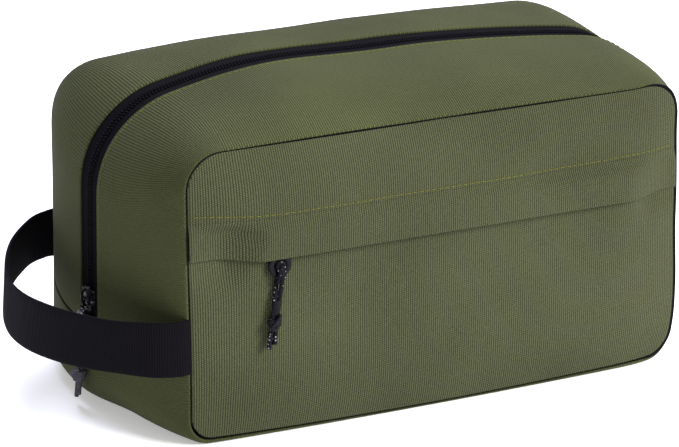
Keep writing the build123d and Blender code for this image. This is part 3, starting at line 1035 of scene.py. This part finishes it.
def plate_outline(scale=1.0):
    """A slider's plate from above: wide shoulders at the nose, a waist, and a rounded tail."""
    half = [(7.0, 0.0), (7.0, 1.6), (6.6, 3.4), (5.4, 4.5), (3.4, 4.75), (0.8, 4.55), (-2.2, 4.1),
            (-4.8, 3.9), (-6.2, 3.3), (-6.9, 2.0), (-7.0, 0.0)]
    line = smooth_line([(x, y, 0) for x, y in half], 26)[:, :2] * scale
    line[:, 0] *= np.where(line[:, 0] > 0, 0.62, 0.85)
    return [tuple(p) for p in line] + [(x, -y) for x, y in line[-2:0:-1]]


def slider_parts(bridge_turn):
    """Two plates, a raised top, side walls, a post and a bridge. X along the zip, Y across it, Z out."""
    parts = [
        prism(plate_outline(), 1.5, 2.4),
        prism(plate_outline(0.84), 2.3, 2.75),
        prism(plate_outline(), -2.5, -1.5),
    ]
    for side in (1, -1):
        for low, high in ((0.62, 1.55), (-1.55, -0.62)):
            wall = [(3.6, 3.3), (3.6, 4.5), (0.5, 4.4), (-3.6, 3.9), (-3.6, 3.3)]
            parts.append(prism([(x, side * y) for x, y in wall][::side], low, high))
    parts.append(prism([(2.2, -0.45), (4.6, -0.45), (4.6, 0.45), (2.2, 0.45)], -1.6, 1.6))
    arch = [(-3.6, 2.5), (-3.45, 3.7), (-2.6, 4.45), (0, 4.62), (2.6, 4.45), (3.45, 3.7), (3.6, 2.5)]
    turn = math.radians(bridge_turn)
    arch = [(x * math.cos(turn), x * math.sin(turn), z) for x, z in arch]
    parts.append(tube_data(smooth_line(arch, 24), 0.62))
    return joined(parts)


def tab_parts(bar_out, ring_out):
    """A wire stirrup that hangs from the bridge and ends in a round eye. X up, Y across, Z out."""
    half = [(-5.6, 0.0, ring_out), (-4.9, 1.7, ring_out), (-3.2, 2.5, ring_out * 0.7), (-0.9, 2.55, bar_out),
            (0.0, 1.9, bar_out), (0.15, 0.0, bar_out)]
    wire = half + [(x, -y, z) for x, y, z in half[-2::-1]]
    parts = [tube_data(smooth_line(wire, 60), 0.55)]
    around, section = 48, 16
    points, faces = [], []
    for a in np.linspace(0, 2 * math.pi, around, endpoint=False):
        for b in np.linspace(0, 2 * math.pi, section, endpoint=False):
            c, s = math.cos(b), math.sin(b)
            radial = 4.1 + 1.4 * math.copysign(abs(c) ** 0.75, c)
            height = 0.9 * math.copysign(abs(s) ** 0.75, s)
            points.append((-10.5 + radial * math.cos(a), radial * math.sin(a), ring_out + height))
    for i in range(around):
        for j in range(section):
            k, q = (i + 1) % around, (j + 1) % section
            faces.append((i * section + j, k * section + j, k * section + q, i * section + q))
    parts.append((np.array(points), faces))
    return joined(parts)


def metal(name, data, place, body, node, material=ENAMEL):
    points, faces = data
    obj = piece(name, place(points), faces, material, "dark_metal")
    bevelled(obj)
    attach(obj, body)
    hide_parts(node)


# The doubled cord about the eye's centre: X up, Y sideways, Z out of the bag.
CORD_ROUTE = [
    (-35.0, -1.15, 0.0), (-31.0, -1.1, 0.1), (-23.0, -1.05, 0.0), (-13.0, -1.05, 0.1),
    (-6.5, -0.5, 1.7), (-3.0, -0.1, 2.1), (-0.7, 0.0, 1.5), (0.0, 0.0, 0.0),
    (-0.7, 0.0, -1.5), (-3.0, 0.1, -2.1), (-6.5, 0.5, -1.7), (-13.0, 1.05, -0.1),
    (-23.0, 1.05, 0.0), (-31.0, 1.2, -0.1), (-36.8, 1.1, 0.0),
]


def pull_cord(name, place, leaning, body, node, material):
    data = bpy.data.curves.new(name, "CURVE")
    data.dimensions = "3D"
    spline = data.splines.new("NURBS")
    route = leaning(CORD_ROUTE) * MM
    spline.points.add(len(route) - 1)
    for point, at in zip(spline.points, route):
        point.co = (*at, 1.0)
    spline.order_u = 3
    spline.use_endpoint_u = True
    spline.resolution_u = 8
    data.bevel_depth = 1.0 * MM
    data.bevel_resolution = 4
    data.use_fill_caps = True
    data.materials.append(material)
    cord = bpy.data.objects.new(name, data)
    scene.collection.objects.link(cord)
    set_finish(cord, "black_cord")
    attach(cord, body)
    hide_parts(node)
    leave = place([(-7.0, 0.0, 0.0)])[0] * MM


def knot_parts():
    """Two and a half wraps round both strands, with one end tucked across them."""
    wrap = []
    for t in np.linspace(-0.6, 2.0, 90):
        down = -23.6 - 2.9 * (t / 2.6 + 0.23)
        wrap.append((down, 2.15 * math.sin(2 * math.pi * t), 1.55 * math.cos(2 * math.pi * t)))
    tuck = [(-22.0, -1.9, 1.1), (-23.3, -0.6, 2.3), (-25.2, 1.0, 2.35), (-27.0, 2.2, 1.2)]
    low = [(-27.6, -2.0, -0.4), (-27.9, 0.0, 1.5), (-27.4, 2.0, 0.4)]
    return joined([tube_data(wrap, 0.95), tube_data(smooth_line(tuck, 24), 0.95),
                   tube_data(smooth_line(low, 20), 0.85)])


def hitch_part():
    """The cord's turn round the eye's rim, which fills the eye."""
    turn = np.linspace(0, 2 * math.pi, 40, endpoint=False)
    ring = [(1.45 * math.cos(a) - 0.1, 1.5 * math.sin(a), 0.35) for a in turn]
    over = [(-1.2, -0.9, 0.9), (-3.2, -1.0, 1.75), (-5.2, -1.05, 1.4), (-7.5, -1.0, 0.5)]
    back = [(x, -y, z) for x, y, z in over]
    return joined([tube_data(ring, 1.0, closed=True), tube_data(smooth_line(over, 20), 0.95),
                   tube_data(smooth_line(back, 20), 0.95)])


def sleeve_part():
    """A plain tube over the two strands, between their flecked part and the knot."""
    line = [(-15.5, 0, 0), (-18.0, 0, 0), (-22.0, 0, 0)]
    radius = np.interp(np.linspace(0, 1, 12), [0, 0.08, 0.9, 1], [1.9, 2.15, 2.1, 1.8])
    return tube_data(smooth_line(line, 12), radius, 14, squash=0.62)


def pull(prefix, place, body, lean, fat, cord, knotted):
    """A doubled cord with its hitch, sleeve and knot, leaning sideways by lean in each 30 mm."""
    def leaning(points):
        points = np.array(points, float)
        depth = -np.minimum(0.0, points[:, 0] + 4) / 30
        return place(points + np.outer(depth, (0.0, -lean, 0.7)))

    points, faces = knot_parts()
    points[:, 1:] *= fat
    knot = piece(f"{prefix}_knot", leaning(points), faces, knotted, "black_cord")
    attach(knot, body)
    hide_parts(f"{prefix}_knot")
    for kind, (points, faces), material in (("hitch", hitch_part(), cord), ("sleeve", sleeve_part(), SLEEVE)):
        part = piece(f"{prefix}_{kind}", leaning(points), faces, material, "black_cord")
        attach(part, body)
    pull_cord(f"{prefix}_cord", place, leaning, body, f"{prefix}_cord", cord)


UP, LEFT, OUT_FRONT = (0, 0, 1), (-1, 0, 0), (0, -1, 0)
CHAIN_X = -136.936
main_slider = to_world((CHAIN_X, ZIP_Y, 51.5), UP, LEFT)
metal("main_slider_metal", slider_parts(0), main_slider, "main_slider", "main_zip_slider", WORN_ENAMEL)
metal("main_tab_metal", tab_parts(3.72, 4.3), main_slider, "main_tab", "main_pull_tab", WORN_ENAMEL)
main_eye = to_world((CHAIN_X - 4.5, ZIP_Y, 41.0), UP, LEFT)
pull("main_pull", main_eye, "main_pull", -4.0, 1.15, GREY_CORD, GREY_CORD)

pocket_slider = to_world((POCKET_SLIDER_X, POCKET_CHAIN_Y, POCKET_ZIP_Z), LEFT, OUT_FRONT)
pocket_tab = to_world((POCKET_SLIDER_X, POCKET_CHAIN_Y, POCKET_ZIP_Z), UP, OUT_FRONT)
metal("pocket_slider_metal", slider_parts(90), pocket_slider, "pocket_slider", "pocket_zip_slider")
metal("pocket_tab_metal", tab_parts(3.72, 3.95), pocket_tab, "pocket_slider", "pocket_pull_tab")
pocket_eye = to_world((POCKET_SLIDER_X, POCKET_CHAIN_Y - 4.2, POCKET_ZIP_Z - 10.5), UP, OUT_FRONT)
pull("pocket_pull", pocket_eye, "pocket_pull", -4.0, 1.0, CORD, KNOT)


def stop_part(half):
    return prism([(-half, -2.9), (half, -2.9), (half, 2.9), (-half, 2.9)], -1.2, 1.2)


for name, side in (("left", -1), ("right", 1)):
    at = to_world((side * -CHAIN_X, ZIP_Y, 41.2), UP, (side, 0, 0))
    metal(f"main_stop_{name}_metal", stop_part(1.2), at, FRONT, f"main_zip_stop_{name}")
    at = to_world((side * 93.4, POCKET_CHAIN_Y, POCKET_ZIP_Z), LEFT, OUT_FRONT)
    metal(f"pocket_stop_{name}_metal", stop_part(1.3), at, FRONT, f"pocket_zip_stop_{name}")

# ---- carrying loop
LOOP_ROUTE = [
    (-116.5, -64.5, 46.2), (-120.2, -67.2, 46.3), (-126.0, -67.4, 46.2), (-136.8, -63.2, 46.4),
    (-152.4, -48.4, 46.4), (-163.7, -26.2, 45.6), (-168.2, 0.0, 44.8), (-163.7, 26.2, 45.0),
    (-152.4, 48.4, 50.4), (-136.8, 63.2, 54.6), (-126.0, 67.4, 56.0), (-120.2, 67.2, 56.2),
    (-116.5, 64.5, 56.2),
]


def webbing_loop():
    """Ribbed webbing, standing on edge along the route, and leaning a little where it passes the zip."""
    line = smooth_line(LOOP_ROUTE, 1150)
    n = len(line)
    tangent = unit(np.gradient(line, axis=0))
    share = line[:, 1] / 68.4
    lean = -0.23 * np.abs(share) * (1 - ease(-line[:, 1], 50, 66))
    upright = np.stack([np.zeros(n), np.sin(lean), np.cos(lean)], axis=1)
    upright = unit(upright - tangent * np.sum(upright * tangent, axis=1, keepdims=True))
    out = unit(np.cross(upright, tangent))
    if out[n // 2][0] > 0:
        out = -out
    run = np.linspace(0, 1, n) * run_along(line)[-1]
    rib = 0.11 * (np.abs(np.sin(math.pi * run / 1.05)) - 0.6)
    half, thick = 12.5, 0.8
    flat = half - thick
    section = []          # across the webbing, out of it, and how much of the ribs' height it takes
    for sign in (1, -1):
        section += [(sign * t * flat, sign * thick, sign) for t in np.linspace(-1, 1, 9)]
        start = sign * math.pi / 2
        for a in np.linspace(start, start - math.pi, 6)[1:-1]:
            section.append((sign * flat + thick * math.cos(a), thick * math.sin(a), 0.6))
    m = len(section)
    wide, deep, bump = np.array(section).T
    points = (line[:, None] + upright[:, None] * wide[None, :, None]
              + out[:, None] * (deep[None, :] + rib[:, None] * bump[None, :])[..., None])
    faces = tube_faces(n, m)
    uv = np.stack([np.repeat(run, m), np.tile(wide, n)], axis=1)
    obj = piece("webbing_loop", points.reshape(-1, 3), faces, WEBBING, "black_webbing", uv)
    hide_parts("side_handle")
    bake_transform(obj)


webbing_loop()


# ---- topstitching
def stitches(name, line, out):
    """Separate thread loops that dip into the cloth at both ends."""
    pitch, length, radius = 3.1, 2.4, 0.2
    lift = np.array([-0.25, 0.06, 0.14, 0.14, 0.06, -0.25])
    run = run_along(line)
    parts = []
    for at in np.arange(2.0, run[-1] - 2.0, pitch):
        marks = at + np.linspace(-length / 2, length / 2, len(lift))
        path = values_at(marks, run, line) + values_at(marks, run, out) * lift[:, None]
        parts.append(tube_data(path, radius, 6))
    points, faces = joined(parts)
    obj = piece(name, points, faces, THREAD, "olive_cloth", points[:, [0, 2]])
    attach(obj, FRONT)


def flap_stitches():
    xs = np.linspace(-118.3, 118.3, 400)
    zs = 102.9 + 1.5 * ease(xs, -85, -115)
    grid = np.stack([xs, np.zeros_like(xs), zs], axis=-1)[:, None]
    grid = np.repeat(grid, 2, axis=1)
    x, z = grid[..., 0], grid[..., 2]
    grid[..., 1] = -(SEAM_FACE + upper_swell(x, z) - turn_in(edge_distance(x, z)))
    normals = facing_way(grid, 1, -1)
    grid = rippled_panel(grid, normals, PANEL_SOFTNESS)
    stitches("flap_stitching", grid[:, 0], normals[:, 0])


flap_stitches()
mouth_y = ZIP_Y - BAND - 2.0
mouth_line = [(x, mouth_y, z) for x, z in over_top(mouth_y, 0.0, True, (40, 30, 160))]
mouth_line, _, mouth_out = following(np.array(mouth_line))
stitches("mouth_stitching_front", mouth_line, mouth_out)

# ---- floor
FAR = 4000
floor_corners = [(-FAR, -FAR, 0), (FAR, -FAR, 0), (FAR, FAR, 0), (-FAR, FAR, 0)]
floor = piece("studio_floor", floor_corners, [(0, 1, 2, 3)], floor_material(), "olive_cloth", smooth=False)
del floor["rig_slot"]
